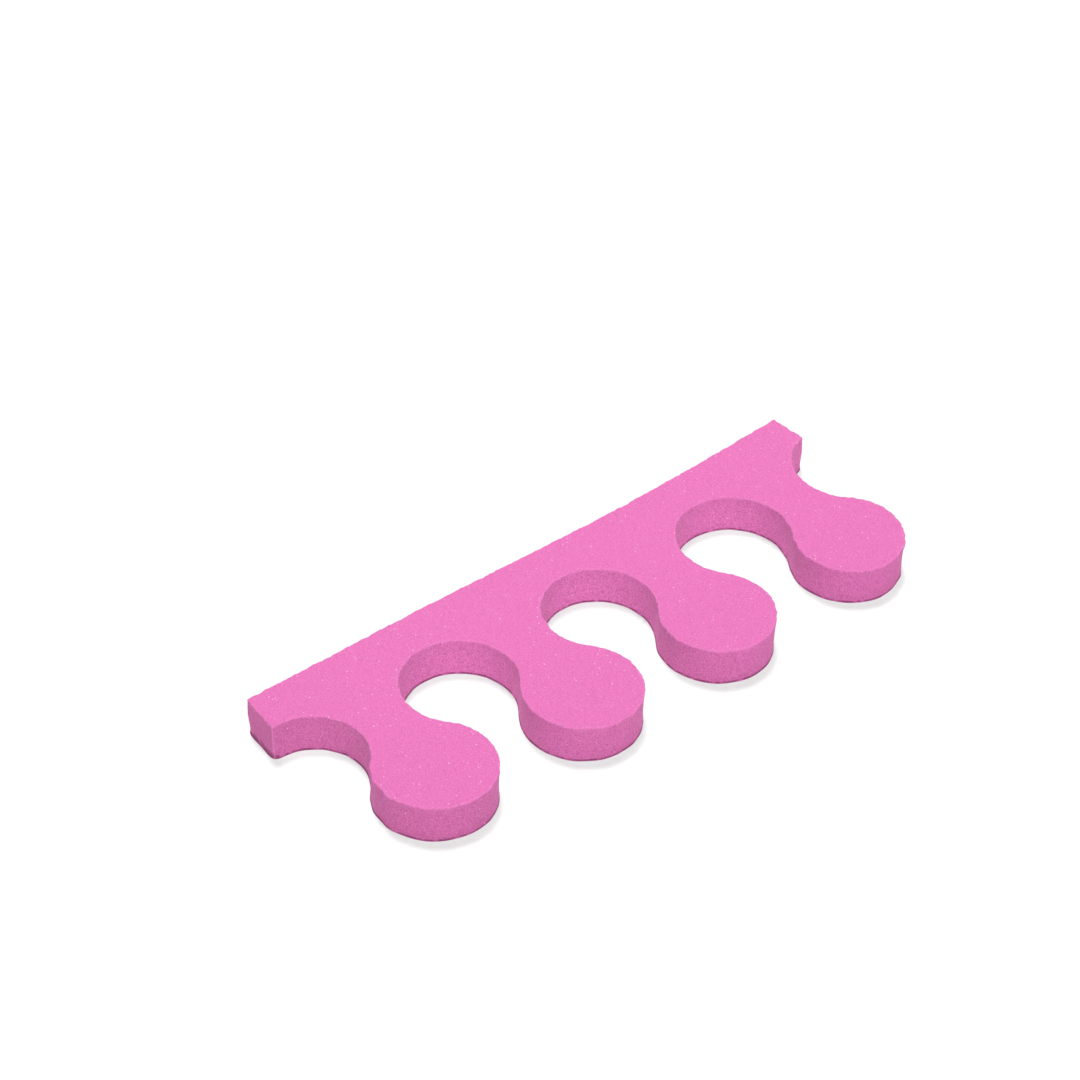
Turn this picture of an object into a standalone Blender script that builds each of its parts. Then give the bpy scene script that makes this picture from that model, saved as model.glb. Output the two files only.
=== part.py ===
"""Toe separator: a comb stamped in one piece from a sheet of soft foam.

A straight spine carries four fingers with round heads. A toe goes into each round gap between two
fingers, and into the half gap outside each outer finger, which ends in a small blunt horn.

The comb lies flat: X runs along the spine, the fingers point towards -Y and Z is up. The origin is
the middle of its footprint, on the surface that it lies on. Lengths are in metres. The outline is
drawn in the sheet's own plane, as the distance along the spine from its middle and the reach in
front of the back edge.
"""

import math

import bmesh
import bpy

# The foam sheet
SHEET_THICKNESS = 0.0060

# The comb of fingers
FINGER_COUNT = 4
FINGER_PITCH = 0.0250
LAST_FINGER_SHIFT = 0.0018
HEAD_REACH = 0.0264
HEAD_RADIUS = 0.0085
SPINE_WIDTH = 0.0070

# The left end: its half gap's centre and its horn's tip, both from the outer finger
LEFT_GAP_OFFSET = 0.0120
LEFT_SPINE_WIDTH = 0.0075
LEFT_TIP_OFFSET = 0.0129
LEFT_TIP_LEAN = 0.0005

# The right end, which is cut shorter and deeper
RIGHT_GAP_OFFSET = 0.0124
RIGHT_SPINE_WIDTH = 0.0055
RIGHT_TIP_OFFSET = 0.0110
RIGHT_TIP_LEAN = 0.0002

# The back edge, cut slightly out of line, and the comb's soft bend
BACK_TAPER = 0.0010
BACK_WAVE = 0.0003
BACK_WAVE_LENGTH = 0.080
BOW = 0.0008
FINGER_CROWN = 0.0006

# The cut wall: crisp where the sheet's face was up, softer under and slightly hollow between
TOP_EDGE_RADIUS = 0.0002
BOTTOM_EDGE_RADIUS = 0.0003
CORNER_RADIUS = 0.0004
WALL_HOLLOW = 0.0002

# How finely curves are divided
ARC_STEP = math.radians(10.0)
BACK_STEPS = 14
WALL_RINGS = 3
EDGE_SEGMENTS = 3

# Pink foam, as a linear colour
FOAM_COLOUR = (0.855, 0.212, 0.546, 1.0)
FOAM_ROUGHNESS = 0.9

LARGEST_RADIUS = max(TOP_EDGE_RADIUS, BOTTOM_EDGE_RADIUS, CORNER_RADIUS)
WELD_DISTANCE = 0.000001
SHARP_ANGLE = math.radians(50.0)


def clear_scene():
    """Remove whatever the scene holds."""
    for thing in list(bpy.data.objects):
        bpy.data.objects.remove(thing, do_unlink=True)


def foam_material():
    """The sheet's foam: soft, matt and pink."""
    material = bpy.data.materials.new("pink_foam")
    material.use_nodes = True
    surface = material.node_tree.nodes["Principled BSDF"]
    surface.inputs["Base Color"].default_value = FOAM_COLOUR
    surface.inputs["Roughness"].default_value = FOAM_ROUGHNESS
    surface.inputs["Metallic"].default_value = 0.0
    return material


def head_centres():
    """Centre of each finger's round head, from left to right."""
    centres = []
    for index in range(FINGER_COUNT):
        along = (index - (FINGER_COUNT - 1) / 2) * FINGER_PITCH
        if index == FINGER_COUNT - 1:
            along += LAST_FINGER_SHIFT
        centres.append((along, HEAD_REACH))
    return centres


def gap_circle(along, head_offset, spine_width):
    """Centre and radius of a toe gap: it rests on the spine and touches the heads beside it."""
    rise = HEAD_REACH - spine_width
    radius = (head_offset**2 + rise**2 - HEAD_RADIUS**2) / (2 * (rise + HEAD_RADIUS))
    return (along, spine_width + radius), radius


def gap_circles(heads):
    """Every toe gap from left to right, starting and ending with the half gap outside the fingers."""
    first, last = heads[0][0], heads[-1][0]
    circles = [gap_circle(first - LEFT_GAP_OFFSET, LEFT_GAP_OFFSET, LEFT_SPINE_WIDTH)]
    for (left, _), (right, _) in zip(heads, heads[1:]):
        circles.append(gap_circle((left + right) / 2, (right - left) / 2, SPINE_WIDTH))
    circles.append(gap_circle(last + RIGHT_GAP_OFFSET, RIGHT_GAP_OFFSET, RIGHT_SPINE_WIDTH))
    return circles


def horn_tip(along, circle):
    """The point of a horn, where its end face meets the wall of the half gap."""
    centre, radius = circle
    return (along, centre[1] - math.sqrt(radius**2 - (along - centre[0]) ** 2))


def bearing(start, end):
    """Direction from one point to another, as an angle from the spine's direction."""
    return math.atan2(end[1] - start[1], end[0] - start[0])


def arc(centre, radius, start, end):
    """Points round a circle from one angle to another, without the last one."""
    steps = max(1, math.ceil(abs(end - start) / ARC_STEP))
    angles = [start + (end - start) * step / steps for step in range(steps)]
    return [(centre[0] + radius * math.cos(a), centre[1] + radius * math.sin(a)) for a in angles]


def back_edge(along):
    """Reach of the back edge: straight, but tapered and with a slow wander."""
    turns = along / BACK_WAVE_LENGTH
    return BACK_WAVE * math.sin(2 * math.pi * turns) - BACK_TAPER * along / strip_length()


def strip_length():
    """Length of the comb from one horn's tip to the other."""
    heads = head_centres()
    return heads[-1][0] + RIGHT_TIP_OFFSET - heads[0][0] + LEFT_TIP_OFFSET


def bent(point):
    """A point of the straight comb, moved by the comb's soft bend and its crowned fingertips."""
    along, reach = point
    share = 1 - (2 * along / strip_length()) ** 2
    return (along, reach + (BOW + FINGER_CROWN * reach / HEAD_REACH) * share)


def comb_outline():
    """The closed outline of the comb, starting at the left horn's tip, and its four sharp corners."""
    heads = head_centres()
    gaps = gap_circles(heads)
    left_tip = horn_tip(heads[0][0] - LEFT_TIP_OFFSET, gaps[0])
    right_tip = horn_tip(heads[-1][0] + RIGHT_TIP_OFFSET, gaps[-1])
    left_back = left_tip[0] + LEFT_TIP_LEAN
    right_back = right_tip[0] - RIGHT_TIP_LEAN

    points = []
    full_turn = 2 * math.pi
    start = bearing(gaps[0][0], left_tip) + full_turn
    for head, (centre, radius), (next_centre, _) in zip(heads, gaps, gaps[1:]):
        points += arc(centre, radius, start, bearing(centre, head) + full_turn)
        points += arc(head, HEAD_RADIUS, bearing(head, centre) + full_turn, bearing(head, next_centre))
        start = bearing(next_centre, head)
    last_centre, last_radius = gaps[-1]
    points += arc(last_centre, last_radius, start, bearing(last_centre, right_tip) + full_turn)
    points.append(right_tip)

    for step in range(BACK_STEPS + 1):
        along = right_back + (left_back - right_back) * step / BACK_STEPS
        points.append((along, back_edge(along)))
    corners = [left_tip, right_tip, (right_back, back_edge(right_back)), points[-1]]
    return [bent(point) for point in points], [bent(corner) for corner in corners]


def to_world(points, outline):
    """Outline points as X and Y, with the middle of the outline's box at the origin."""
    alongs = [along for along, _ in outline]
    reaches = [reach for _, reach in outline]
    middle = (min(alongs) + max(alongs)) / 2
    half_way = (min(reaches) + max(reaches)) / 2
    return [(along - middle, half_way - reach) for along, reach in points]


def stamped_sheet(outline):
    """The outline as a flat filled curve, as thick as the sheet and standing on the floor."""
    curve = bpy.data.curves.new("comb_outline", "CURVE")
    curve.dimensions = "2D"
    curve.fill_mode = "BOTH"
    curve.extrude = SHEET_THICKNESS / 2
    spline = curve.splines.new("POLY")
    spline.points.add(len(outline) - 1)
    for point, (x, y) in zip(spline.points, outline):
        point.co = (x, y, 0.0, 1.0)
    spline.use_cyclic_u = True

    drawing = bpy.data.objects.new("comb_outline", curve)
    bpy.context.scene.collection.objects.link(drawing)
    bpy.context.view_layer.update()
    evaluated = drawing.evaluated_get(bpy.context.evaluated_depsgraph_get())
    mesh = bpy.data.meshes.new_from_object(evaluated)
    bpy.data.objects.remove(drawing)
    bpy.data.curves.remove(curve)

    shape = bmesh.new()
    shape.from_mesh(mesh)
    bmesh.ops.remove_doubles(shape, verts=shape.verts, dist=WELD_DISTANCE)
    bmesh.ops.translate(shape, verts=shape.verts, vec=(0.0, 0.0, SHEET_THICKNESS / 2))
    for level in (0.0, SHEET_THICKNESS):
        face_level = [f for f in shape.faces if abs(f.calc_center_median().z - level) < WELD_DISTANCE]
        bmesh.ops.dissolve_faces(shape, faces=face_level)
    bmesh.ops.recalc_face_normals(shape, faces=shape.faces)
    return mesh, shape


def hollow_wall(shape):
    """Divide the cut wall into rings and press them in along a parabola, deepest half way up."""
    for ring in range(1, WALL_RINGS + 1):
        share = ring / (WALL_RINGS + 1)
        height = SHEET_THICKNESS * share
        everything = list(shape.verts) + list(shape.edges) + list(shape.faces)
        bmesh.ops.bisect_plane(
            shape,
            geom=everything,
            dist=WELD_DISTANCE,
            plane_co=(0.0, 0.0, height),
            plane_no=(0.0, 0.0, 1.0),
        )
    shape.normal_update()
    moves = []
    for vert in shape.verts:
        share = vert.co.z / SHEET_THICKNESS
        depth = WALL_HOLLOW * 4 * share * (1 - share)
        if depth > WELD_DISTANCE:
            outward = vert.normal.copy()
            outward.z = 0.0
            moves.append((vert, outward.normalized() * depth))
    for vert, inward in moves:
        vert.co -= inward


def mark_edges(shape, corners):
    """Give each edge that the foam rounds its share of the largest radius, for the Bevel."""
    weights = shape.edges.layers.float.new("bevel_weight_edge")
    corner_distance = WALL_HOLLOW + CORNER_RADIUS
    for edge in shape.edges:
        low, high = sorted(vert.co.z for vert in edge.verts)
        middle = (edge.verts[0].co + edge.verts[1].co) / 2
        if high < WELD_DISTANCE:
            edge[weights] = BOTTOM_EDGE_RADIUS / LARGEST_RADIUS
        elif low > SHEET_THICKNESS - WELD_DISTANCE:
            edge[weights] = TOP_EDGE_RADIUS / LARGEST_RADIUS
        elif high - low > WELD_DISTANCE:
            if any(math.hypot(middle.x - x, middle.y - y) < corner_distance for x, y in corners):
                edge[weights] = CORNER_RADIUS / LARGEST_RADIUS


def make_separator(collection):
    """The whole toe separator, one piece of foam."""
    outline, corners = comb_outline()
    mesh, shape = stamped_sheet(to_world(outline, outline))
    hollow_wall(shape)
    mark_edges(shape, to_world(corners, outline))
    shape.to_mesh(mesh)
    shape.free()
    mesh.name = "toe_separator"
    mesh.materials.clear()
    mesh.materials.append(foam_material())

    separator = bpy.data.objects.new("toe_separator", mesh)
    collection.objects.link(separator)
    rounding = separator.modifiers.new("edge_rounding", "BEVEL")
    rounding.limit_method = "WEIGHT"
    rounding.width = LARGEST_RADIUS
    rounding.segments = EDGE_SEGMENTS
    rounding.use_clamp_overlap = False
    mesh.shade_smooth()
    mesh.set_sharp_from_angle(angle=SHARP_ANGLE)
    return separator


def main():
    """Build the model in a collection of its own."""
    clear_scene()
    collection = bpy.data.collections.new("toe_separator")
    bpy.context.scene.collection.children.link(collection)
    make_separator(collection)


main()
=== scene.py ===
"""Toe separator: the looks of a comb stamped in one piece from a sheet of soft pink foam.

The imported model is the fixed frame. One piece of foam takes the place of its single solid, with the
same outline drawn finely: the crisp upper rim with its nicks, the pinched foot, the leaning walls
and the burst cells of the cut are in its mesh. Finer cells are in its two finishes, one for the
sheet's faces and one for the cut. Lengths are in metres unless a name says otherwise.
"""

from __future__ import annotations

import logging
import math
from dataclasses import dataclass, fields
from enum import Enum
from typing import Union

import bpy
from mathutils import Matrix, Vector

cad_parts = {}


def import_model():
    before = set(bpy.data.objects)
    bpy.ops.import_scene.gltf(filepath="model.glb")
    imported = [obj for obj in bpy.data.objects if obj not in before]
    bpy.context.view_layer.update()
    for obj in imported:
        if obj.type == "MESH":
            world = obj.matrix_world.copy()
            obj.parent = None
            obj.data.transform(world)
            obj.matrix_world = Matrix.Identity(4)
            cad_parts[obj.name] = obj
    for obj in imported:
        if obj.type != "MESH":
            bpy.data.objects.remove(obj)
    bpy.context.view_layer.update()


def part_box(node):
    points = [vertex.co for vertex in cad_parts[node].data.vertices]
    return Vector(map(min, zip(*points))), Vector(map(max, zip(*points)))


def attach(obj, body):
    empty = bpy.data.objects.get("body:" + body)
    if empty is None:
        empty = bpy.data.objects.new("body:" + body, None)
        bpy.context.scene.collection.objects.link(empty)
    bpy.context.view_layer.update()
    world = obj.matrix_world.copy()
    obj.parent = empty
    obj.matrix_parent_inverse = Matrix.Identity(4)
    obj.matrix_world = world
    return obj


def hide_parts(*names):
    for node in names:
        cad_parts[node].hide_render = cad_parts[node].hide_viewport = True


LOG = logging.getLogger("toe_separator")
SOLID = "toe_separator"
# Named attribute that carries the painted highlight of the rim and the horns' corners
HIGHLIGHT_ATTRIBUTE = "painted_highlight_edge"
FULL_TURN = 2 * math.pi
UPRIGHT = (0.0, 0.0, 1.0)
WELD_DISTANCE = 0.000002

# Where smooth steps over the comb start and end, as shares of the size that each is measured by
FOOT_TO_RIM = (0.1, 0.6)
PINCH_OPENS = (0.3, 1.0)
PINCH_CLOSES = (1.0, 1.9)
LIP_FADES = (0.4, 1.0)
# How the painted highlight fades away from the horns' corners and from the rim
CORNER_HIGHLIGHT_FADES = (0.2, 1.0)
RIM_HIGHLIGHT_FADES = (1.0, 2.2)
BARE_ABOVE_FOOT = (0.15, 1.0)
BARE_BELOW_RIM = (0.3, 2.0)

# From which share of bare cut a face takes the cut's finish
BARE_ENOUGH = 0.35

# Where smooth steps in the foam's pattern start and end: in cells, in dots or in values of its noise
PIT_SLOPE = (0.1, 0.6)
PORE_SLOPE = (0.12, 0.62)
UNEVEN_STEP = (0.35, 0.65)
CREASE_STEP = (0.52, 0.70)
NET_STEP = (0.50, 0.72)
DOT_FADES = (0.4, 1.0)
LINE_FADES = (0.15, 0.75)
LINE_BREAKS = (0.25, 0.55)

# How many features each noise of the pattern has in the length of one cell
UNEVEN_SCALE = 0.45
CREASE_SCALE = 0.9
NET_SCALE = 1.1

# What sets the cut's noises apart
NICK_SHIFT = 7.3
ROUGH_SHIFT = 3.1
CELL_SEED_STEP = 0.37

Value = Union["Wire", float, int, bool, str, tuple, None]
Colour = tuple[float, float, float, float]
Material = bpy.types.Material


class Wire:
    """A value that runs between two nodes and takes part in sums."""

    def __init__(self, graph: Graph, socket: bpy.types.NodeSocket) -> None:
        """Keep the graph that the value belongs to and the socket that gives it."""
        self.graph = graph
        self.socket = socket

    def __add__(self, other: Value) -> Wire:
        """This value plus another."""
        return self.graph.math("ADD", self, other)

    def __sub__(self, other: Value) -> Wire:
        """This value less another."""
        return self.graph.math("SUBTRACT", self, other)

    def __rsub__(self, other: Value) -> Wire:
        """Another value less this one."""
        return self.graph.math("SUBTRACT", other, self)

    def __mul__(self, other: Value) -> Wire:
        """This value times another."""
        return self.graph.math("MULTIPLY", self, other)

    __rmul__ = __mul__

    def __truediv__(self, other: Value) -> Wire:
        """This value divided by another."""
        return self.graph.math("DIVIDE", self, other)

    def __rtruediv__(self, other: Value) -> Wire:
        """Another value divided by this one."""
        return self.graph.math("DIVIDE", other, self)

    def squared(self) -> Wire:
        """This value times itself."""
        return self.graph.math("MULTIPLY", self, self)


class Graph:
    """A node tree written as formulas, in order from its inputs to its output."""

    def __init__(self, tree: bpy.types.NodeTree) -> None:
        """Take the tree that the nodes go into."""
        self.tree = tree

    def feed(self, socket: bpy.types.NodeSocket, value: Value) -> None:
        """Link a wire to a socket, or set the socket's own value.

        Args:
            socket: the input to fill.
            value: a wire, a plain value, or None to leave the socket as it is.
        """
        if isinstance(value, Wire):
            self.tree.links.new(value.socket, socket)
        elif value is not None:
            socket.default_value = value

    def node(
        self, kind: str, settings: dict[str, object] | None = None, **inputs: Value
    ) -> bpy.types.Node:
        """Add a node.

        Args:
            kind: Blender's name for the node.
            settings: the node's own properties.
            inputs: its inputs by name, in small letters and with underscores for spaces.

        Returns:
            The node.
        """
        node = self.tree.nodes.new(kind)
        for name, value in (settings or {}).items():
            setattr(node, name, value)
        for name, value in inputs.items():
            label = name.replace("_", " ").title()
            socket = next(s for s in node.inputs if s.enabled and s.name == label)
            self.feed(socket, value)
        return node

    def wire(
        self, kind: str, output: str, settings: dict[str, object] | None = None, **inputs: Value
    ) -> Wire:
        """Add a node and return one of its outputs.

        Args:
            kind: Blender's name for the node.
            output: the name of the output.
            settings: the node's own properties.
            inputs: its inputs, as node() takes them.

        Returns:
            The output as a wire.
        """
        node = self.node(kind, settings, **inputs)
        return Wire(self, next(s for s in node.outputs if s.enabled and s.name == output))

    def math(self, operation: str, *values: Value, kind: str = "ShaderNodeMath") -> Wire:
        """Add one step of arithmetic.

        Args:
            operation: Blender's name for the step.
            values: what it works on, in order.
            kind: the node that takes the step.

        Returns:
            The result.
        """
        node = self.node(kind, {"operation": operation})
        for socket, value in zip(node.inputs, values):
            self.feed(socket, value)
        return Wire(self, node.outputs[0])

    def vector_math(self, operation: str, *values: Value) -> Wire:
        """The same for vectors, with a vector as the result."""
        return self.math(operation, *values, kind="ShaderNodeVectorMath")

    def scaled(self, vector: Value, factor: Value) -> Wire:
        """A vector times a single value."""
        settings = {"operation": "SCALE"}
        return self.wire("ShaderNodeVectorMath", "Vector", settings, vector=vector, scale=factor)

    def choose(self, condition: Wire, no: Value, yes: Value) -> Wire:
        """One of two values, by a condition that is 0 or 1, or a blend where it is between."""
        return self.wire("ShaderNodeMix", "Result", {"data_type": "FLOAT"}, factor=condition, a=no, b=yes)

    def ramp(self, value: Wire, start: Value, end: Value) -> Wire:
        """A smooth step from 0 at start to 1 at end."""
        settings = {"interpolation_type": "SMOOTHSTEP"}
        return self.wire("ShaderNodeMapRange", "Result", settings, value=value, from_min=start, from_max=end)

    def combine(self, x: Value, y: Value, z: Value) -> Wire:
        """A vector from its three parts."""
        return self.wire("ShaderNodeCombineXYZ", "Vector", x=x, y=y, z=z)

    def place(self, geometry: Wire, position: Wire | None = None, offset: Wire | None = None) -> Wire:
        """A geometry with its points put in new positions, moved by an offset, or both."""
        kind = "GeometryNodeSetPosition"
        return self.wire(kind, "Geometry", geometry=geometry, position=position, offset=offset)

    def here(self) -> Wire:
        """The present position."""
        return self.wire("GeometryNodeInputPosition", "Position")

    def split(self, vector: Value) -> tuple[Wire, Wire, Wire]:
        """The three parts of a vector."""
        node = self.node("ShaderNodeSeparateXYZ", vector=vector)
        return tuple(Wire(self, socket) for socket in node.outputs)

    def capture(self, geometry: Wire, **values: Wire) -> tuple[Wire, dict[str, Wire]]:
        """Keep values on a geometry's points, so that later steps still find them.

        Args:
            geometry: the mesh or curve.
            values: the values by name.

        Returns:
            The geometry, and the kept values by name.
        """
        node = self.node("GeometryNodeCaptureAttribute", {"domain": "POINT"})
        for name, value in values.items():
            node.capture_items.new("VECTOR" if value.socket.type == "VECTOR" else "FLOAT", name)
        self.feed(node.inputs["Geometry"], geometry)
        for name, value in values.items():
            self.feed(node.inputs[name], value)
        kept = {name: Wire(self, node.outputs[name]) for name in values}
        return Wire(self, node.outputs["Geometry"]), kept


Point = tuple[Wire, Wire]


@dataclass(frozen=True)
class CombSizes:
    """What the comb's outline and its section are worked out from.

    The outline lies in the sheet's own plane, as the distance along the spine from its middle and
    the reach in front of the back edge.
    """

    # The sheet and the outline
    thickness: float
    finger_count: int = 4
    finger_pitch: float = 0.0250
    last_finger_shift: float = 0.0018
    head_reach: float = 0.0264
    head_radius: float = 0.0085
    spine_width: float = 0.0070
    left_gap_offset: float = 0.0120
    left_spine_width: float = 0.0075
    left_tip_offset: float = 0.0129
    left_tip_lean: float = 0.0005
    right_gap_offset: float = 0.0124
    right_spine_width: float = 0.0055
    right_tip_offset: float = 0.0110
    right_tip_lean: float = 0.0002
    back_taper: float = 0.0010
    back_wave: float = 0.0003
    back_wave_length: float = 0.080
    bow: float = 0.0008
    finger_crown: float = 0.0006

    # The section of the cut wall
    edge_margin: float = 0.0009
    wall_hollow: float = 0.00012
    rim_radius: float = 0.00018
    foot_radius: float = 0.00012
    foot_lip: float = 0.00004
    pinch_depth: float = 0.00005
    pinch_height: float = 0.0003
    nick_reach: float = 0.25

    # How the foot stands out into the gaps, and shifts under the heads between two places in Y
    gap_lean: float = 0.0003
    head_lean: float = 0.00002
    head_shift: float = -0.0002
    lean_start: float = 0.004
    lean_end: float = -0.008

    # Painted highlight of the rim and of the horns' corners, and the room and the rounding that edges have
    # there
    rim_highlight: float = 0.25
    corner_highlight: float = 0.00017
    corner_room: float = 0.00004
    corner_slope: float = 0.42
    rim_corner_blur: int = 1
    foot_corner_blur: int = 20


@dataclass(frozen=True)
class CutQuality:
    """How the die left the cut: its raggedness, and the burst cells of the wall."""

    arc_steps: int = 72
    back_steps: int = 60
    cut_step: float = 0.00019
    wall_rings: int = 25
    face_rings: int = 3
    edge_rings: int = 4
    ragged_length: float = 0.0024
    ragged_depth: float = 0.00022
    nick_length: float = 0.0007
    nick_depth: float = 0.00023
    cell_size: float = 0.00042
    cell_depth: float = 0.000045
    pit_share: float = 0.6
    rough_share: float = 0.7
    rough_length_in_cells: float = 2.3
    seed: int = 5


class CombTree(Graph):
    """The Geometry Nodes tree that draws the comb's outline and stamps it out of the sheet."""

    def __init__(self, sizes: CombSizes, quality: CutQuality, skin: Material, cut: Material) -> None:
        """Set up the tree with one named input for each size and for both finishes.

        Args:
            sizes: the comb's sizes.
            quality: the fineness and roughness of the cut.
            skin: the finish of the sheet's two faces.
            cut: the finish of the cut wall.
        """
        super().__init__(bpy.data.node_groups.new("stamped_foam_comb", "GeometryNodeTree"))
        self.values: dict[str, object] = {}
        for source in (sizes, quality):
            for field in fields(source):
                self.values[field.name] = getattr(source, field.name)
        self.values["skin_finish"] = skin
        self.values["cut_finish"] = cut
        interface = self.tree.interface
        interface.new_socket("Drawing", in_out="INPUT", socket_type="NodeSocketGeometry")
        for name, value in self.values.items():
            kind = {int: "NodeSocketInt", float: "NodeSocketFloat"}.get(type(value), "NodeSocketMaterial")
            interface.new_socket(self.label(name), in_out="INPUT", socket_type=kind)
        interface.new_socket("Comb", in_out="OUTPUT", socket_type="NodeSocketGeometry")
        self.inlet = self.tree.nodes.new("NodeGroupInput")

    @staticmethod
    def label(name: str) -> str:
        """A size's name as the modifier shows it."""
        return name.replace("_", " ").capitalize()

    def size(self, name: str) -> Wire:
        """One of the tree's named inputs."""
        return Wire(self, self.inlet.outputs[self.label(name)])

    def set_on(self, modifier: bpy.types.NodesModifier) -> None:
        """Give a modifier this tree and every named value, by the socket's identifier.

        Args:
            modifier: the modifier that stamps the comb.
        """
        modifier.node_group = self.tree
        for item in self.tree.interface.items_tree:
            for name, value in self.values.items():
                if item.in_out == "INPUT" and item.name == self.label(name):
                    modifier[item.identifier] = value

    def head_along(self, index: Value) -> Wire:
        """Find where a finger's round head stands along the spine.

        Args:
            index: the finger, counted from 0 at the left.

        Returns:
            The distance from the spine's middle.
        """
        count = self.size("finger_count")
        is_last = self.math("GREATER_THAN", index, count - 1.5)
        row = (index - (count - 1) * 0.5) * self.size("finger_pitch")
        return row + is_last * self.size("last_finger_shift")

    def ends(self, index: Value) -> tuple[Wire, Wire]:
        """Whether a gap is the left half gap, and whether it is the right one."""
        last = self.size("finger_count") - 0.5
        return self.math("LESS_THAN", index, 0.5), self.math("GREATER_THAN", index, last)

    def by_end(self, index: Value, usual: Wire, left: Wire, right: Wire) -> Wire:
        """One of three values of a gap: the usual one, or that of the left or the right half gap."""
        is_first, is_last = self.ends(index)
        return self.choose(is_last, self.choose(is_first, usual, left), right)

    def gap(self, index: Value) -> tuple[Point, Wire]:
        """A toe gap: the circle that rests on the spine and touches the heads beside it.

        Args:
            index: the gap, from 0 for the left half gap to the finger count for the right one.

        Returns:
            The circle's centre and its radius.
        """
        left, right = self.head_along(index - 1), self.head_along(index)
        left_offset, right_offset = self.size("left_gap_offset"), self.size("right_gap_offset")
        along = self.by_end(index, (left + right) * 0.5, right - left_offset, left + right_offset)
        offset = self.by_end(index, (right - left) * 0.5, left_offset, right_offset)
        spines = ("spine_width", "left_spine_width", "right_spine_width")
        spine = self.by_end(index, *(self.size(name) for name in spines))
        rise = self.size("head_reach") - spine
        head_radius = self.size("head_radius")
        span = offset.squared() + rise.squared() - head_radius.squared()
        radius = span / (2 * (rise + head_radius))
        return (along, spine + radius), radius

    def horn_tip(self, along: Wire, gap: tuple[Point, Wire]) -> Point:
        """Find the point of a horn, where its end face meets the wall of the half gap.

        Args:
            along: where the horn ends along the spine.
            gap: the half gap's centre and radius.

        Returns:
            The point.
        """
        (centre, reach), radius = gap
        drop = self.math("SQRT", radius.squared() - (along - centre).squared())
        return along, reach - drop

    def bearing(self, start: Point, end: Point) -> Wire:
        """Direction from one point to another, as an angle from the spine's direction."""
        return self.math("ARCTAN2", end[1] - start[1], end[0] - start[0])

    def either(self, condition: Wire, no: Point, yes: Point) -> Point:
        """One of two points, by a condition that is 0 or 1."""
        return tuple(self.choose(condition, a, b) for a, b in zip(no, yes))

    def tips(self) -> tuple[Point, Point]:
        """Find the points of both horns.

        Returns:
            The left and the right horn's point.
        """
        count = self.size("finger_count")
        left_along = self.head_along(0) - self.size("left_tip_offset")
        right_along = self.head_along(count - 1) + self.size("right_tip_offset")
        return self.horn_tip(left_along, self.gap(0)), self.horn_tip(right_along, self.gap(count))

    def arc_point(self, step: Wire, tips: tuple[Point, Point]) -> Point:
        """A point of the outline's arcs, which are gaps and heads in turn from the left.

        Args:
            step: the point's number round the outline.
            tips: the points of the two horns.

        Returns:
            The point.
        """
        arc_steps = self.size("arc_steps")
        number = self.math("FLOOR", (step + 0.5) / arc_steps)
        share = (step - number * arc_steps) / arc_steps
        index = self.math("FLOOR", number * 0.5 + 0.25)
        is_head = number - index * 2
        is_first, is_last = self.ends(index)

        reach = self.size("head_reach")
        head = (self.head_along(index), reach)
        previous_head = (self.head_along(index - 1), reach)
        gap_centre, gap_radius = self.gap(index)
        next_centre, _ = self.gap(index + 1)

        gap_start = self.bearing(gap_centre, self.either(is_first, previous_head, tips[0]))
        gap_start = gap_start + is_first * FULL_TURN
        gap_end = self.bearing(gap_centre, self.either(is_last, head, tips[1])) + FULL_TURN
        head_start = self.bearing(head, gap_centre) + FULL_TURN
        head_end = self.bearing(head, next_centre)

        start = self.choose(is_head, gap_start, head_start)
        end = self.choose(is_head, gap_end, head_end)
        radius = self.choose(is_head, gap_radius, self.size("head_radius"))
        centre = self.either(is_head, gap_centre, head)
        angle = start + (end - start) * share
        return centre[0] + radius * self.math("COSINE", angle), centre[1] + radius * self.math("SINE", angle)

    def back_point(self, step: Wire, tips: tuple[Point, Point], length: Wire) -> Point:
        """A point of the right end face and the back edge, counted from the right horn's tip.

        Args:
            step: the point's number, 0 at the tip.
            tips: the points of the two horns.
            length: the comb's length from tip to tip.

        Returns:
            The point.
        """
        left_back = tips[0][0] + self.size("left_tip_lean")
        right_back = tips[1][0] - self.size("right_tip_lean")
        share = self.math("MAXIMUM", step - 1, 0.0) / (self.size("back_steps") - 2)
        along = right_back + (left_back - right_back) * share
        wave = self.math("SINE", along / self.size("back_wave_length") * FULL_TURN)
        reach = self.size("back_wave") * wave - self.size("back_taper") * along / length
        is_tip = self.math("LESS_THAN", step, 0.5)
        return self.either(is_tip, (along, reach), tips[1])

    def bent(self, point: Point, length: Wire) -> Point:
        """Move a point of the straight comb by its soft bend and its crowned fingertips.

        Args:
            point: the point.
            length: the comb's length from tip to tip.

        Returns:
            The moved point.
        """
        along, reach = point
        share = 1 - (along * 2 / length).squared()
        crown = self.size("finger_crown") * reach / self.size("head_reach")
        return along, reach + (self.size("bow") + crown) * share

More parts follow.
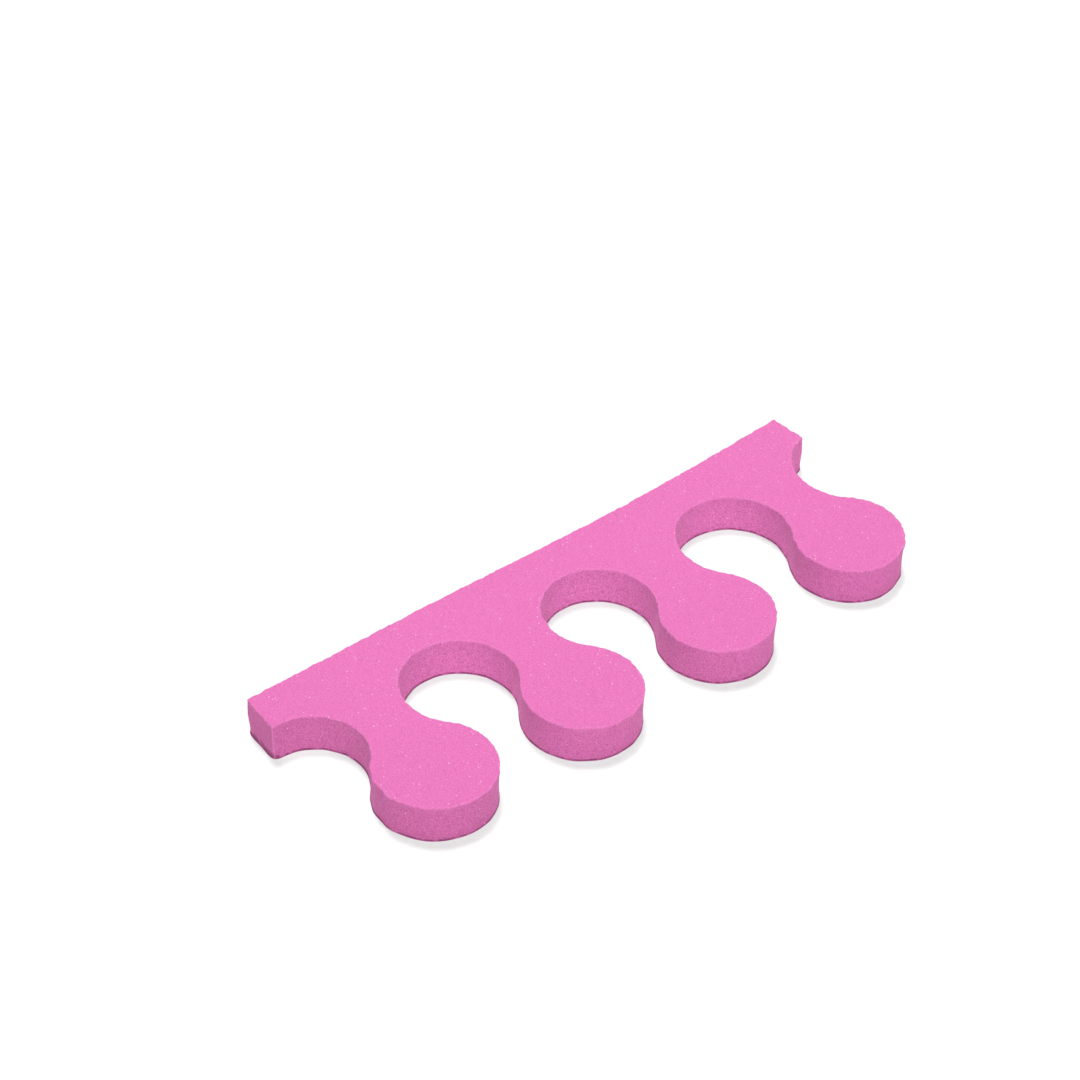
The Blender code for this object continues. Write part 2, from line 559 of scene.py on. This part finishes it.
    def outline(self) -> tuple[Wire, Wire]:
        """Draw the comb's closed outline, centred on the origin, with the fingers towards -Y.

        Returns:
            The outline as a loop of edges, and the four corners of its horns as loose points.
        """
        tips = self.tips()
        length = tips[1][0] - tips[0][0]
        step = self.wire("GeometryNodeInputIndex", "Index")
        arc_points = (self.size("finger_count") * 2 + 1) * self.size("arc_steps")
        back_steps = self.size("back_steps")
        loop = self.wire("GeometryNodeMeshCircle", "Mesh", vertices=arc_points + back_steps)
        is_back = self.math("GREATER_THAN", step, arc_points - 0.5)
        arc, back = self.arc_point(step, tips), self.back_point(step - arc_points, tips, length)
        along, reach = self.bent(self.either(is_back, arc, back), length)
        loop = self.place(loop, position=self.combine(along, reach * -1, 0.0))
        box = self.node("GeometryNodeBoundBox", geometry=loop)
        low, high = (Wire(self, box.outputs[name]) for name in ("Min", "Max"))
        to_middle = self.scaled(self.vector_math("ADD", low, high), -0.5)
        loop = self.place(loop, offset=to_middle)

        is_corner = self.math("LESS_THAN", step, 0.5)
        for corner in (arc_points, arc_points + 1, arc_points + back_steps - 1):
            is_corner = is_corner + self.math("COMPARE", step, corner, 0.5)
        kind, settings = "GeometryNodeSeparateGeometry", {"domain": "POINT"}
        corners = self.wire(kind, "Selection", settings, geometry=loop, selection=is_corner)
        return loop, corners

    def noise(self, length: Wire, detail: float, shift: float) -> Wire:
        """Add soft noise over the present position.

        Args:
            length: how long its features are.
            detail: how much finer noise it carries.
            shift: what sets it apart from the other noises of the same seed.

        Returns:
            The noise, from -1 to 1.
        """
        kind, settings = "ShaderNodeTexNoise", {"noise_dimensions": "4D"}
        place, seed = self.scaled(self.here(), 1 / length), self.size("seed") + shift
        return self.wire(kind, "Fac", settings, vector=place, w=seed, scale=1.0, detail=detail) * 2 - 1

    def outward(self) -> Wire:
        """Direction out of the comb at a point of its outline."""
        tangent = self.wire("GeometryNodeInputTangent", "Tangent")
        return self.vector_math("CROSS_PRODUCT", tangent, UPRIGHT)

    def cut_line(self, loop: Wire, corners: Wire) -> tuple[Wire, dict[str, Wire]]:
        """Walk the outline in even steps, as the die really cut it.

        Args:
            loop: the outline.
            corners: its four corners.

        Returns:
            The cut as a closed curve, and what is kept on its points: the place and outward
            direction at the rim and how far its nicks move it out, the place and direction at
            the foot, how far in the edges may reach, how much painted highlight a corner carries
            and how far it belongs to the finger heads.
        """
        curve = self.wire("GeometryNodeMeshToCurve", "Curve", mesh=loop)
        kind, settings = "GeometryNodeResampleCurve", {"mode": "LENGTH"}
        curve = self.wire(kind, "Curve", settings, curve=curve, length=self.size("cut_step"))
        curve = self.softened(curve, "rim_corner_blur")
        waves = self.noise(self.size("ragged_length"), detail=2.0, shift=0.0) * self.size("ragged_depth")
        nicks = self.noise(self.size("nick_length"), detail=1.0, shift=NICK_SHIFT) * self.size("nick_depth")
        curve, clean = self.capture(curve, rim_out=self.outward(), ragged=waves + nicks)
        curve = self.place(curve, offset=self.scaled(clean["rim_out"], clean["ragged"]))
        place = self.here()
        kind, settings = "GeometryNodeProximity", {"target_element": "POINTS"}
        distance = self.wire(kind, "Distance", settings, geometry=corners)
        room = distance * self.size("corner_slope") + self.size("corner_room")
        # Painted highlight: the cut is drawn paler near the horns' corners
        wear = 1 - self.ramp(distance / self.size("corner_highlight"), *CORNER_HIGHLIGHT_FADES)
        curve, rim = self.capture(curve, rim=place, room=room, wear=wear)
        curve = self.softened(curve, "foot_corner_blur")
        _, y, _ = self.split(place)
        at_heads = self.ramp(y * -1, self.size("lean_start") * -1, self.size("lean_end") * -1)
        curve, foot = self.capture(curve, foot=place, foot_out=self.outward(), heads=at_heads)
        return curve, clean | rim | foot

    def lean(self, line: dict[str, Wire]) -> Wire:
        """Find how the foot lies beside the rim: out into the toe gaps, and shifted under the heads.

        Args:
            line: what is kept on the cut line's points.

        Returns:
            The way from the rim's place to the foot's, seen from above.
        """
        step = self.choose(line["heads"], self.size("gap_lean"), self.size("head_lean"))
        shift = self.combine(line["heads"] * self.size("head_shift"), 0.0, 0.0)
        return self.vector_math("ADD", self.scaled(line["foot_out"], step), shift)

    def softened(self, curve: Wire, rounds: str) -> Wire:
        """A curve with its corners worn round.

        Args:
            curve: the curve.
            rounds: the name of the size that says how many times it is averaged.

        Returns:
            The softened curve.
        """
        kind, settings = "GeometryNodeBlurAttribute", {"data_type": "FLOAT_VECTOR"}
        place = self.wire(kind, "Value", settings, value=self.here(), iterations=self.size(rounds))
        return self.place(curve, position=place)

    def section(self) -> tuple[Wire, dict[str, Wire]]:
        """The wall's section from under the sheet to its upper face, rounded at foot and rim.

        Returns:
            The section as a curve, and what is kept on its points: the inset from the cut line
            and the height.
        """
        thickness, margin = self.size("thickness"), self.size("edge_margin")
        start = self.combine(margin, 0.0, 0.0)
        line = self.wire("GeometryNodeMeshLine", "Mesh", {"mode": "OFFSET"}, count=4, start_location=start)
        index = self.wire("GeometryNodeInputIndex", "Index")
        is_end = self.math("LESS_THAN", index, 0.5) + self.math("GREATER_THAN", index, 2.5)
        is_upper = self.math("GREATER_THAN", index, 1.5)
        corner = self.combine(is_end * margin, is_upper * thickness, 0.0)
        line = self.place(line, position=corner)
        curve = self.wire("GeometryNodeMeshToCurve", "Curve", mesh=line)
        radius = self.choose(is_upper, self.size("foot_radius"), self.size("rim_radius"))
        kind, rings = "GeometryNodeFilletCurve", self.size("edge_rings")
        curve = self.wire(kind, "Curve", {"mode": "POLY"}, curve=curve, count=rings, radius=radius)
        _, height, _ = self.split(self.here())
        above_foot = self.math("GREATER_THAN", height, self.size("foot_radius") - WELD_DISTANCE)
        starts_wall = above_foot * self.math("LESS_THAN", height, thickness * 0.5)
        starts_face = self.math("GREATER_THAN", height, thickness - WELD_DISTANCE)
        cuts = starts_wall * self.size("wall_rings") + starts_face * self.size("face_rings")
        curve = self.wire("GeometryNodeSubdivideCurve", "Curve", curve=curve, cuts=cuts)
        inset, height, _ = self.split(self.here())
        return self.capture(curve, inset=inset, height=height)

    def wall(self, cut: Wire, line: dict[str, Wire]) -> tuple[Wire, dict[str, Wire]]:
        """Sweep the section along the cut line.

        Args:
            cut: the cut line.
            line: what is kept on its points.

        Returns:
            The wall's mesh, and what is kept on its points: how far it is bare cut, which is 1
            half way up and 0 on the sheet's faces, and how much painted highlight it carries at the rim
            and the corners.
        """
        section, kept = self.section()
        wall = self.wire("GeometryNodeCurveToMesh", "Mesh", curve=cut, profile_curve=section)
        wall = self.wire("GeometryNodeFlipFaces", "Mesh", mesh=wall)
        height, thickness = kept["height"], self.size("thickness")
        share = height / thickness
        room = self.math("MINIMUM", line["room"] / self.size("edge_margin"), 1.0)
        hollow = self.size("wall_hollow") * 4 * share * (1 - share) * room
        pinch_share = height / self.size("pinch_height")
        pinch = self.ramp(pinch_share, *PINCH_OPENS) * (1 - self.ramp(pinch_share, *PINCH_CLOSES))
        lip = self.size("foot_lip") * (1 - self.ramp(pinch_share, *LIP_FADES))
        lip = lip * (1 - kept["inset"] / self.size("edge_margin"))
        moved_out = lip - self.size("pinch_depth") * pinch - kept["inset"] * room - hollow
        lift = self.ramp(share, *FOOT_TO_RIM)
        calm = line["ragged"] * self.ramp(1 - share, 0.0, self.size("nick_reach")) * -1
        calm_rim = self.vector_math("ADD", line["rim"], self.scaled(line["rim_out"], calm))
        place = self.blend(lift, line["foot"], calm_rim)
        out = self.vector_math("NORMALIZE", self.blend(lift, line["foot_out"], line["rim_out"]))
        place = self.vector_math("ADD", place, self.scaled(out, moved_out))
        place = self.vector_math("ADD", place, self.scaled(self.lean(line), 1 - share))
        place = self.vector_math("ADD", place, self.combine(0.0, 0.0, height))
        wall = self.place(wall, position=place)
        rim_radius = self.size("rim_radius")
        above_foot = self.ramp(height / self.size("foot_radius"), *BARE_ABOVE_FOOT)
        below_rim = self.ramp((thickness - height) / rim_radius, *BARE_BELOW_RIM)
        # Painted highlight along the upper rim, joined with that of the corners
        rim = 1 - self.ramp((kept["inset"] + thickness - height) / rim_radius, *RIM_HIGHLIGHT_FADES)
        worn = self.math("MAXIMUM", rim * self.size("rim_highlight"), line["wear"])
        return self.capture(wall, bare=above_foot * below_rim, worn=worn)

    def blend(self, share: Wire, no: Wire, yes: Wire) -> Wire:
        """A blend of two vectors."""
        settings = {"data_type": "VECTOR"}
        return self.wire("ShaderNodeMix", "Result", settings, factor=share, a=no, b=yes)

    def face(self, cut: Wire, line: dict[str, Wire], upper: bool) -> Wire:
        """One of the sheet's two faces, inside the edge that the wall's sweep already has.

        Args:
            cut: the cut line.
            line: what is kept on its points.
            upper: whether it is the upper face.

        Returns:
            The face's mesh.
        """
        name = "rim" if upper else "foot"
        margin = self.size("edge_margin")
        room = self.math("MINIMUM", line["room"] / margin, 1.0)
        inward = self.scaled(line[name + "_out"], margin * room * -1)
        place = self.vector_math("ADD", line[name], inward)
        if not upper:
            place = self.vector_math("ADD", place, self.lean(line))
        border = self.place(cut, position=place)
        face = self.wire("GeometryNodeFillCurve", "Mesh", {"mode": "TRIANGLES"}, curve=border)
        if upper:
            return self.place(face, offset=self.combine(0.0, 0.0, self.size("thickness")))
        return self.wire("GeometryNodeFlipFaces", "Mesh", mesh=face)

    def burst_cells(self, comb: Wire, bare: Wire) -> Wire:
        """Open the foam's cells on the bare cut, as shallow pits of uneven depth.

        Args:
            comb: the closed mesh.
            bare: the share of bare cut at each point.

        Returns:
            The mesh with its pits.
        """
        kind, settings = "ShaderNodeTexVoronoi", {"voronoi_dimensions": "4D"}
        place = self.scaled(self.here(), 1 / self.size("cell_size"))
        seed = self.size("seed") * CELL_SEED_STEP
        cell = self.wire(kind, "Distance", settings, vector=place, w=seed, scale=1.0)
        pit = 1 - self.ramp(cell, *PIT_SLOPE)
        rough_length = self.size("cell_size") * self.size("rough_length_in_cells")
        rough = self.noise(rough_length, detail=1.0, shift=ROUGH_SHIFT) * 0.5 + 0.5
        uneven = pit * self.size("pit_share") + rough * self.size("rough_share")
        depth = self.size("cell_depth") * bare * uneven * -1
        normal = self.wire("GeometryNodeInputNormal", "Normal")
        return self.place(comb, offset=self.scaled(normal, depth))

    def build(self) -> None:
        """Fill the tree, from the outline to the comb with its finishes."""
        loop, corners = self.outline()
        cut, line = self.cut_line(loop, corners)
        wall, kept = self.wall(cut, line)
        joined = self.node("GeometryNodeJoinGeometry")
        for part in (wall, self.face(cut, line, True), self.face(cut, line, False)):
            self.feed(joined.inputs[0], part)
        comb = Wire(self, joined.outputs[0])
        kind = "GeometryNodeMergeByDistance"
        comb = self.wire(kind, "Geometry", geometry=comb, distance=WELD_DISTANCE)
        comb = self.burst_cells(comb, kept["bare"])
        # The painted highlight of the rim and the corners goes to the finishes as a named attribute
        kind, worn = "GeometryNodeStoreNamedAttribute", kept["worn"]
        comb = self.wire(kind, "Geometry", geometry=comb, name=HIGHLIGHT_ATTRIBUTE, value=worn)
        comb = self.wire("GeometryNodeSetShadeSmooth", "Geometry", geometry=comb, shade_smooth=True)
        is_cut = self.math("GREATER_THAN", kept["bare"], BARE_ENOUGH)
        for chosen, name in ((None, "skin_finish"), (is_cut, "cut_finish")):
            kind, finish = "GeometryNodeSetMaterial", self.size(name)
            comb = self.wire(kind, "Geometry", geometry=comb, selection=chosen, material=finish)
        outlet = self.tree.nodes.new("NodeGroupOutput")
        self.feed(outlet.inputs[0], comb)


class Side(Enum):
    """The two kinds of surface that the foam shows."""

    SKIN = "foam_skin"
    CUT = "foam_cut"


class FoamPattern:
    """The shader node groups that both finishes place with their own values."""

    def __init__(self) -> None:
        """Build the groups, each once."""
        self.cells = self.cell_group()
        self.glints = self.glint_group()
        self.mottle = self.mottle_group()
        self.foot = self.foot_shade_group()

    @staticmethod
    def new_group(
        name: str, inputs: dict[str, float], outputs: tuple[str, ...]
    ) -> tuple[Graph, dict[str, Wire]]:
        """Start a shader node group that reads a place and some sizes.

        Args:
            name: the group's name.
            inputs: its inputs besides the place, with their usual values.
            outputs: its outputs, all single values.

        Returns:
            The group's graph, and its inputs as wires.
        """
        tree = bpy.data.node_groups.new(name, "ShaderNodeTree")
        tree.interface.new_socket("Place", in_out="INPUT", socket_type="NodeSocketVector")
        for label, value in inputs.items():
            socket = tree.interface.new_socket(label, in_out="INPUT", socket_type="NodeSocketFloat")
            socket.default_value = value
        for label in outputs:
            tree.interface.new_socket(label, in_out="OUTPUT", socket_type="NodeSocketFloat")
        graph = Graph(tree)
        inlet = tree.nodes.new("NodeGroupInput")
        return graph, {label: Wire(graph, inlet.outputs[label]) for label in ("Place", *inputs)}

    @staticmethod
    def finish_group(graph: Graph, **outputs: Wire) -> bpy.types.NodeTree:
        """Wire a group's outputs.

        Args:
            graph: the group's graph.
            outputs: what it puts out, by the outputs' names in small letters.

        Returns:
            The group's tree.
        """
        outlet = graph.tree.nodes.new("NodeGroupOutput")
        for name, wire in outputs.items():
            graph.feed(outlet.inputs[name.capitalize()], wire)
        return graph.tree

    def cell_group(self) -> bpy.types.NodeTree:
        """Draw the foam's cells: burst ones as dark pits and creases, cell walls as a pale net.

        Returns:
            The group's tree.
        """
        sizes = {"Cell Size": 0.0003, "Unevenness": 0.5}
        graph, inlet = self.new_group("foam_cells", sizes, ("Pore", "Pale", "Height"))
        place = graph.scaled(inlet["Place"], 1 / inlet["Cell Size"])
        distance = graph.wire("ShaderNodeTexVoronoi", "Distance", vector=place, scale=1.0)
        pit = 1 - graph.ramp(distance, *PORE_SLOPE)
        kind = "ShaderNodeTexNoise"
        uneven = graph.wire(kind, "Fac", vector=place, scale=UNEVEN_SCALE, detail=2.0, roughness=0.6)
        weight = graph.choose(inlet["Unevenness"], 1.0, graph.ramp(uneven, *UNEVEN_STEP))
        crease = graph.wire(kind, "Fac", vector=place, scale=CREASE_SCALE, detail=1.0)
        pore = graph.math("MAXIMUM", pit * weight, graph.ramp(crease, *CREASE_STEP))
        net = graph.wire(kind, "Fac", vector=place, scale=NET_SCALE, detail=1.0)
        pale = graph.ramp(net, *NET_STEP) * (1 - pore)
        return self.finish_group(graph, pore=pore, pale=pale, height=pale * 0.5 - pore)

    def glint_group(self) -> bpy.types.NodeTree:
        """Draw the odd cell wall that lies just so and throws the light back, as a tiny pale dot.

        Returns:
            The group's tree.
        """
        sizes = {"Spacing": 0.0006, "Share": 0.05, "Dot Size": 0.00011, "Weakest": 0.2, "Range": 0.9}
        graph, inlet = self.new_group("cell_glints", sizes, ("Glint",))
        place = graph.scaled(inlet["Place"], 1 / inlet["Spacing"])
        node = graph.node("ShaderNodeTexVoronoi", vector=place, scale=1.0)
        distance, colour = (Wire(graph, node.outputs[name]) for name in ("Distance", "Color"))
        luck, strength, _ = graph.split(colour)
        is_lucky = graph.math("LESS_THAN", luck, inlet["Share"])
        radius = inlet["Dot Size"] / inlet["Spacing"]
        dot = 1 - graph.ramp(distance / radius, *DOT_FADES)
        brightness = strength.squared() * inlet["Range"] + inlet["Weakest"]
        return self.finish_group(graph, glint=is_lucky * dot * brightness)

    def mottle_group(self) -> bpy.types.NodeTree:
        """Draw slow random changes of tone, and painted shade that darkens the finger heads and the left
        end.

        Returns:
            The group's tree.
        """
        sizes = {"Patch Size": 0.006, "Heads": -0.004, "Left End": -0.032, "Blend": 0.014, "Head Share": 0.7}
        graph, inlet = self.new_group("foam_mottle", sizes, ("Patch", "Handled"))
        in_patches = graph.scaled(inlet["Place"], 1 / inlet["Patch Size"])
        patch = graph.wire("ShaderNodeTexNoise", "Fac", vector=in_patches, scale=1.0)
        x, y, _ = graph.split(inlet["Place"])
        # Painted shade: the finger heads and the left end are drawn darker, as if less light fell there
        at_heads = graph.ramp((inlet["Heads"] - y) / inlet["Blend"], -0.5, 0.5) * inlet["Head Share"]
        at_left = graph.ramp((inlet["Left End"] - x) / inlet["Blend"], 0.0, 1.0)
        handled = graph.math("MINIMUM", at_heads + at_left, 1.0)
        return self.finish_group(graph, patch=patch * 2 - 1, handled=handled)

    def foot_shade_group(self) -> bpy.types.NodeTree:
        """Draw painted shade in the crease that the die pinched along the foot of the cut, uneven in height
        and depth.

        Returns:
            The group's tree.
        """
        sizes = {"Height": 0.0002, "Width": 0.00026, "Wander": 0.0011}
        sizes |= {"Left End": -0.0494, "End Blend": 0.0007, "Spread": 5.0}
        graph, inlet = self.new_group("painted_foot_shade", sizes, ("Crease",))
        x, _, z = graph.split(inlet["Place"])
        in_wanders = graph.scaled(inlet["Place"], 1 / inlet["Wander"])
        wander = graph.wire("ShaderNodeTexNoise", "Fac", vector=in_wanders, scale=1.0, detail=2.0)
        # The painted shade at the foot spreads wider at the left end, as a painted contact shadow
        at_end = graph.ramp((inlet["Left End"] - x) / inlet["End Blend"], 0.0, 1.0)
        width = inlet["Width"] * (at_end * inlet["Spread"] + 1)
        offset = graph.math("ABSOLUTE", z - inlet["Height"] * (wander + 0.5))
        crease = 1 - graph.ramp(offset / width, *LINE_FADES)
        return self.finish_group(graph, crease=crease * graph.ramp(wander, *LINE_BREAKS))


@dataclass(frozen=True)
class FoamFinish:
    """How one kind of the foam's surface takes colour and light.

    The bounce colour is what diffuse rays meet in place of the foam's own, so that the foam throws
    hardly any pink on the floor.
    """

    side: Side
    colour: Colour = (0.855, 0.193, 0.53, 1.0)
    pore_colour: Colour = (0.42, 0.06, 0.22, 1.0)
    pale_colour: Colour = (0.95, 0.40, 0.72, 1.0)
    glint_colour: Colour = (1.0, 0.86, 0.95, 1.0)
    # Colours of the painted highlight on the rim and the corners, and of the painted shade
    painted_highlight_colour: Colour = (0.96, 0.36, 0.68, 1.0)
    painted_shade_colour: Colour = (0.25, 0.045, 0.14, 1.0)
    bounce_colour: Colour = (0.94, 0.87, 0.91, 1.0)
    bounce_paleness: float = 0.96
    roughness: float = 0.9
    glint_roughness: float = 0.45
    shine: float = 0.25
    sheen: float = 0.03
    sheen_roughness: float = 0.4
    cell_size: float = 0.00022
    unevenness: float = 0.3
    pore_darkness: float = 0.2
    net_paleness: float = 0.48
    patch_shade: float = 0.02
    # Strength of the painted highlight on the rim and the corners, of the painted shade on the heads and the
    # left end, and of the painted shade at the foot
    highlight_paleness: float = 0.75
    whole_highlight: float = 0.5
    net_highlight: float = 0.7
    handled_shade: float = 0.03
    foot_shade: float = 0.78
    cell_relief: float = 0.00002
    glint_spacing: float = 0.0006
    glint_share: float = 0.5
    glint_size: float = 0.00011

    def material(self, pattern: FoamPattern) -> Material:
        """Build the finish as a material.

        Args:
            pattern: the node groups that the finishes share.

        Returns:
            The material.
        """
        material = bpy.data.materials.new(self.side.value)
        material.use_nodes = True
        graph = Graph(material.node_tree)
        surface = graph.tree.nodes["Principled BSDF"]
        place = graph.wire("ShaderNodeTexCoord", "Object")
        kind = "ShaderNodeGroup"
        sizes = {"cell_size": self.cell_size, "unevenness": self.unevenness}
        cells = graph.node(kind, {"node_tree": pattern.cells}, place=place, **sizes)
        pore, pale, relief = (Wire(graph, socket) for socket in cells.outputs)
        sizes = {"spacing": self.glint_spacing, "share": self.glint_share, "dot_size": self.glint_size}
        glint = graph.wire(kind, "Glint", {"node_tree": pattern.glints}, place=place, **sizes)
        mottle = graph.node(kind, {"node_tree": pattern.mottle}, place=place)
        patch, handled = (Wire(graph, socket) for socket in mottle.outputs)
        crease = graph.wire(kind, "Crease", {"node_tree": pattern.foot}, place=place)
        worn = graph.wire("ShaderNodeAttribute", "Fac", {"attribute_name": HIGHLIGHT_ATTRIBUTE})
        thrown = graph.wire("ShaderNodeLightPath", "Is Diffuse Ray")

        dark = graph.math("MAXIMUM", pore * self.pore_darkness + patch * self.patch_shade, 0.0)
        # Painted highlight on the rim and the corners, broken up by the pale net
        highlight_share = worn * (pale * self.net_highlight + self.whole_highlight)
        # Layers of colour: the pores, the pale net, painted shade at the foot, painted shade on the heads
        # and the left end, painted highlight on the rim and the corners, painted glints, and the paler
        # colour that diffuse rays meet
        layers = (
            (dark, self.pore_colour),
            (pale * self.net_paleness, self.pale_colour),
            (crease * self.foot_shade, self.painted_shade_colour),
            (handled * self.handled_shade, self.painted_shade_colour),
            (highlight_share * self.highlight_paleness, self.painted_highlight_colour),
            (glint, self.glint_colour),
            (thrown * self.bounce_paleness, self.bounce_colour),
        )
        colour: Value = self.colour
        settings = {"data_type": "RGBA"}
        for share, layer in layers:
            colour = graph.wire("ShaderNodeMix", "Result", settings, factor=share, a=colour, b=layer)
        bump = graph.wire("ShaderNodeBump", "Normal", strength=1.0, distance=self.cell_relief, height=relief)
        inputs = {
            "Base Color": colour,
            "Roughness": graph.choose(glint, self.roughness, self.glint_roughness),
            "Normal": bump,
            "Specular IOR Level": self.shine,
            "Sheen Weight": self.sheen,
            "Sheen Roughness": self.sheen_roughness,
        }
        for name, value in inputs.items():
            graph.feed(surface.inputs[name], value)
        return material


def added(name: str, data: bpy.types.ID) -> bpy.types.Object:
    """Add an object to the scene.

    Args:
        name: the object's name.
        data: its mesh, light or camera.

    Returns:
        The object, at the origin.
    """
    thing = bpy.data.objects.new(name, data)
    bpy.context.scene.collection.objects.link(thing)
    return thing


def towards(azimuth: float, elevation: float) -> Vector:
    """Find the direction in which something stands, seen from the comb.

    Args:
        azimuth: degrees from straight in front of the fingers towards the comb's right end.
        elevation: degrees up from the floor.

    Returns:
        The direction, one unit long.
    """
    turn, rise = math.radians(azimuth), math.radians(elevation)
    level = math.cos(rise)
    return Vector((level * math.sin(turn), -level * math.cos(turn), math.sin(rise)))


@dataclass
class FoamComb:
    """The whole toe separator, one piece of foam."""

    sizes: CombSizes
    quality: CutQuality
    skin: FoamFinish
    cut: FoamFinish

    def build(self) -> bpy.types.Object:
        """Stamp the comb with Geometry Nodes and turn it into a plain mesh.

        Returns:
            The comb's object, at the origin.
        """
        pattern = FoamPattern()
        skin, cut = self.skin.material(pattern), self.cut.material(pattern)
        tree = CombTree(self.sizes, self.quality, skin, cut)
        tree.build()
        blank = added("comb_blank", bpy.data.meshes.new("comb_blank"))
        modifier = blank.modifiers.new("stamp", "NODES")
        tree.set_on(modifier)
        bpy.context.view_layer.update()
        evaluated = blank.evaluated_get(bpy.context.evaluated_depsgraph_get())
        mesh = bpy.data.meshes.new_from_object(evaluated)
        bpy.data.objects.remove(blank)
        if mesh.materials[0] is None:
            mesh.materials.pop(index=0)
        mesh.name = "foam_comb"
        return added("foam_comb", mesh)

    def mount(self, comb: bpy.types.Object) -> None:
        """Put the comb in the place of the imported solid.

        Args:
            comb: the comb's object.
        """
        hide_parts(SOLID)
        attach(comb, "root")


@dataclass(frozen=True)
class Lamp:
    """A soft distant lamp: where it hangs, how broad it is, all in degrees, and how strong."""

    name: str
    azimuth: float
    elevation: float
    softness: float
    strength: float

    def hang(self) -> None:
        """Add the lamp to the scene."""
        data = bpy.data.lights.new(self.name, "SUN")
        data.energy = self.strength * math.pi
        data.angle = math.radians(self.softness)
        lamp = added(self.name, data)
        lamp.rotation_euler = (-towards(self.azimuth, self.elevation)).to_track_quat("-Z", "Y").to_euler()


@dataclass(frozen=True)
class Studio:
    """The camera, the soft light and the pale floor, with angles in degrees.

    The key hangs high behind the back edge, so that the shadow falls in front. The fills are broad
    lights in front, one high and one low, which light the cut walls. The left and the side light
    reach into the toe gaps. These four are too broad and weak to throw a shadow that shows.
    """

    target: tuple[float, float, float] = (0.007578, 0.024153, 0.0)
    distance: float = 0.382804
    azimuth: float = -39.068
    elevation: float = 39.346
    lens_mm: float = 84.519
    clip_start: float = 0.01
    floor_size: float = 6.0
    floor_colour: Colour = (0.98, 0.98, 0.98, 1.0)
    floor_whitening: float = 0.14
    floor_white: float = 1.2
    room_strength: float = 0.17
    lamps: tuple[Lamp, ...] = (
        Lamp("key", 153.0, 72.5, 13.0, 0.50),
        Lamp("fill", -10.0, 55.0, 50.0, 0.22),
        Lamp("low_fill", -12.0, 25.0, 50.0, 0.20),
        Lamp("left", -75.0, 30.0, 50.0, 0.14),
        Lamp("side", 125.0, 25.0, 50.0, 0.18),
    )

    def add_camera(self) -> None:
        """Stand the camera where the picture was taken from."""
        data = bpy.data.cameras.new("picture_camera")
        data.lens = self.lens_mm
        data.clip_start = self.clip_start
        camera = added("picture_camera", data)
        way = towards(self.azimuth, self.elevation)
        camera.location = Vector(self.target) + way * self.distance
        camera.rotation_euler = (-way).to_track_quat("-Z", "Y").to_euler()
        bpy.context.scene.camera = camera

    def white_when_seen(self, graph: Graph, share: float) -> Wire:
        """Find how far a surface shows as plain white to the camera and in gloss and glass.

        Args:
            graph: the graph of the surface's material, or of the world.
            share: how far it is whitened there.

        Returns:
            The share of white for each ray.
        """
        path = graph.node("ShaderNodeLightPath")
        seen = Wire(graph, path.outputs["Is Camera Ray"])
        for name in ("Is Glossy Ray", "Is Transmission Ray"):
            seen = graph.math("MAXIMUM", seen, Wire(graph, path.outputs[name]))
        return seen * share

    def add_world(self) -> None:
        """Fill the room with even light that shows as white."""
        world = bpy.data.worlds.new("studio_room")
        bpy.context.scene.world = world
        world.use_nodes = True
        graph = Graph(world.node_tree)
        background = graph.tree.nodes["Background"]
        seen = self.white_when_seen(graph, 1.0)
        graph.feed(background.inputs["Color"], (1.0, 1.0, 1.0, 1.0))
        graph.feed(background.inputs["Strength"], graph.choose(seen, self.room_strength, 1.0))

    def add_floor(self) -> bpy.types.Object:
        """Lay the pale floor, which keeps the comb's shadow.

        Returns:
            The floor.
        """
        half = self.floor_size / 2
        mesh = bpy.data.meshes.new("floor")
        corners = [(-half, -half, 0.0), (half, -half, 0.0), (half, half, 0.0), (-half, half, 0.0)]
        mesh.from_pydata(corners, [], [(0, 1, 2, 3)])
        floor = added("floor", mesh)
        material = bpy.data.materials.new("pale_floor")
        material.use_nodes = True
        graph = Graph(material.node_tree)
        graph.tree.nodes.remove(graph.tree.nodes["Principled BSDF"])
        card = graph.wire("ShaderNodeBsdfDiffuse", "BSDF", color=self.floor_colour)
        white = graph.wire("ShaderNodeEmission", "Emission", strength=self.floor_white)
        mix = graph.node("ShaderNodeMixShader")
        graph.feed(mix.inputs[0], self.white_when_seen(graph, self.floor_whitening))
        graph.feed(mix.inputs[1], card)
        graph.feed(mix.inputs[2], white)
        outlet = graph.tree.nodes["Material Output"]
        graph.feed(outlet.inputs["Surface"], Wire(graph, mix.outputs[0]))
        mesh.materials.append(material)
        return floor

    def build(self) -> None:
        """Set up the whole studio."""
        self.add_camera()
        for lamp in self.lamps:
            lamp.hang()
        self.add_world()
        self.add_floor()
        bpy.context.scene.view_settings.view_transform = "Standard"


def main() -> None:
    """Build the scene."""
    logging.basicConfig(level=logging.INFO, format="%(message)s")
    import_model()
    low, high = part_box(SOLID)
    comb_maker = FoamComb(
        sizes=CombSizes(thickness=high.z - low.z),
        quality=CutQuality(),
        skin=FoamFinish(Side.SKIN),
        cut=FoamFinish(
            Side.CUT,
            cell_size=0.00021,
            pore_darkness=0.5,
            net_paleness=0.55,
            # painted shade on the cut walls of the finger heads and the left end
            handled_shade=0.2,
            cell_relief=0.00004,
            sheen=0.06,
            glint_share=0.06,
        ),
    )
    comb = comb_maker.build()
    comb_maker.mount(comb)
    LOG.info("foam comb: %d faces", len(comb.data.polygons))
    Studio().build()


if __name__ == "__main__":
    main()
